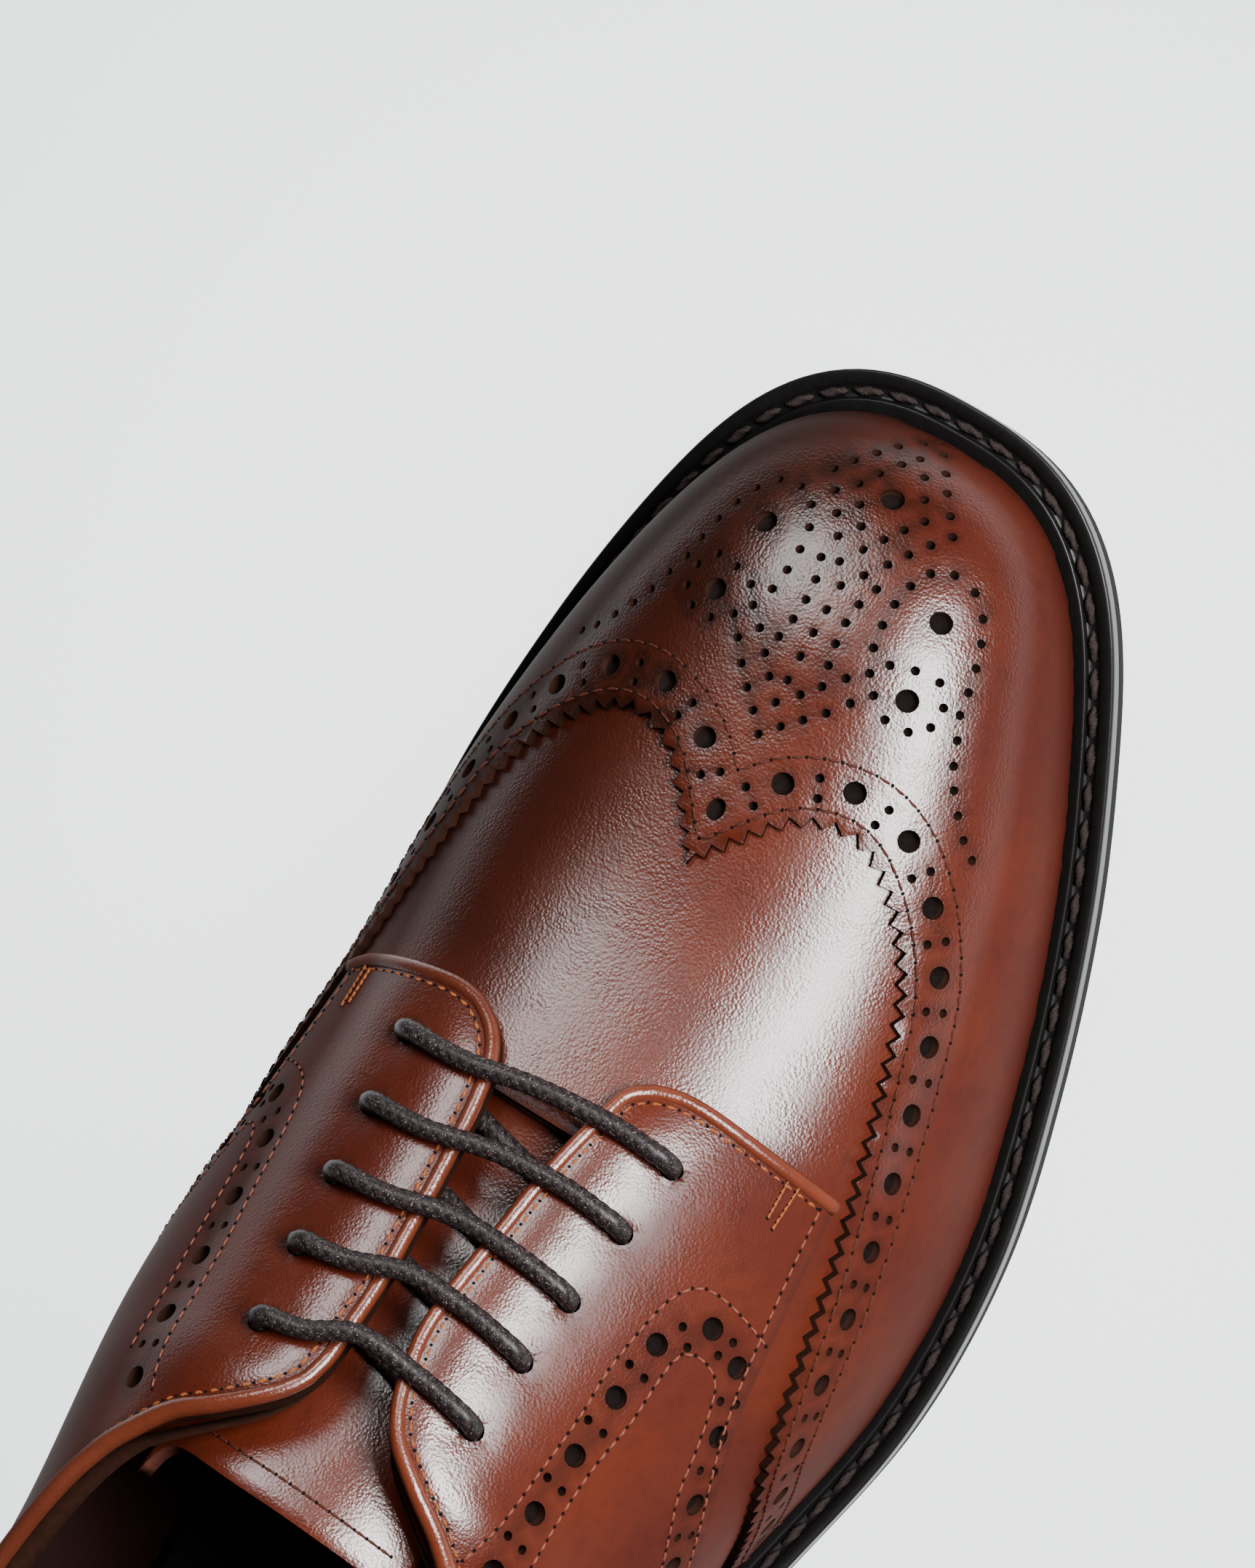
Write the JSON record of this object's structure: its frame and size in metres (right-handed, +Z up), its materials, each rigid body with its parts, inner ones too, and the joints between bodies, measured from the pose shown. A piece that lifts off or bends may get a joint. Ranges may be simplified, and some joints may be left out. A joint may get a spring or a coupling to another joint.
{
  "type": "brogued derby shoe",
  "caption": "Right-foot derby shoe: hollow leather upper with a winged brogued cap, open quarters laced over a tongue, stitched welt, outsole and stacked heel.",
  "frame": {"origin": "on the floor, under the middle of the whole shoe's box", "axes": "+X from heel to toe, +Y to the inner (big toe) side of a right shoe, +Z up"},
  "size_m": [0.309, 0.1026, 0.096],
  "materials": {
    "upper_leather": "oxblood brown polished calf, burnished darker at toe and seams",
    "lining_leather": "matt reddish-brown lining leather",
    "welt_leather": "black waxed edge",
    "heel_leather": "black stacked heel, satin",
    "sole_rubber": "dark matt rubber",
    "lace": "waxed round braid, charcoal brown"
  },
  "bodies": {
    "root": {"outsole": "sole_rubber", "welt": "welt_leather", "heel_stack": "heel_leather", "top_piece": "sole_rubber", "insole": "lining_leather", "upper": "upper_leather", "tongue": "upper_leather", "quarter_outer": "upper_leather", "quarter_inner": "upper_leather", "wing_cap": "upper_leather", "lace_bar_1": "lace", "lace_bar_2": "lace", "lace_bar_3": "lace", "lace_bar_4": "lace", "lace_bar_5": "lace"}
  },
  "joints": []
}
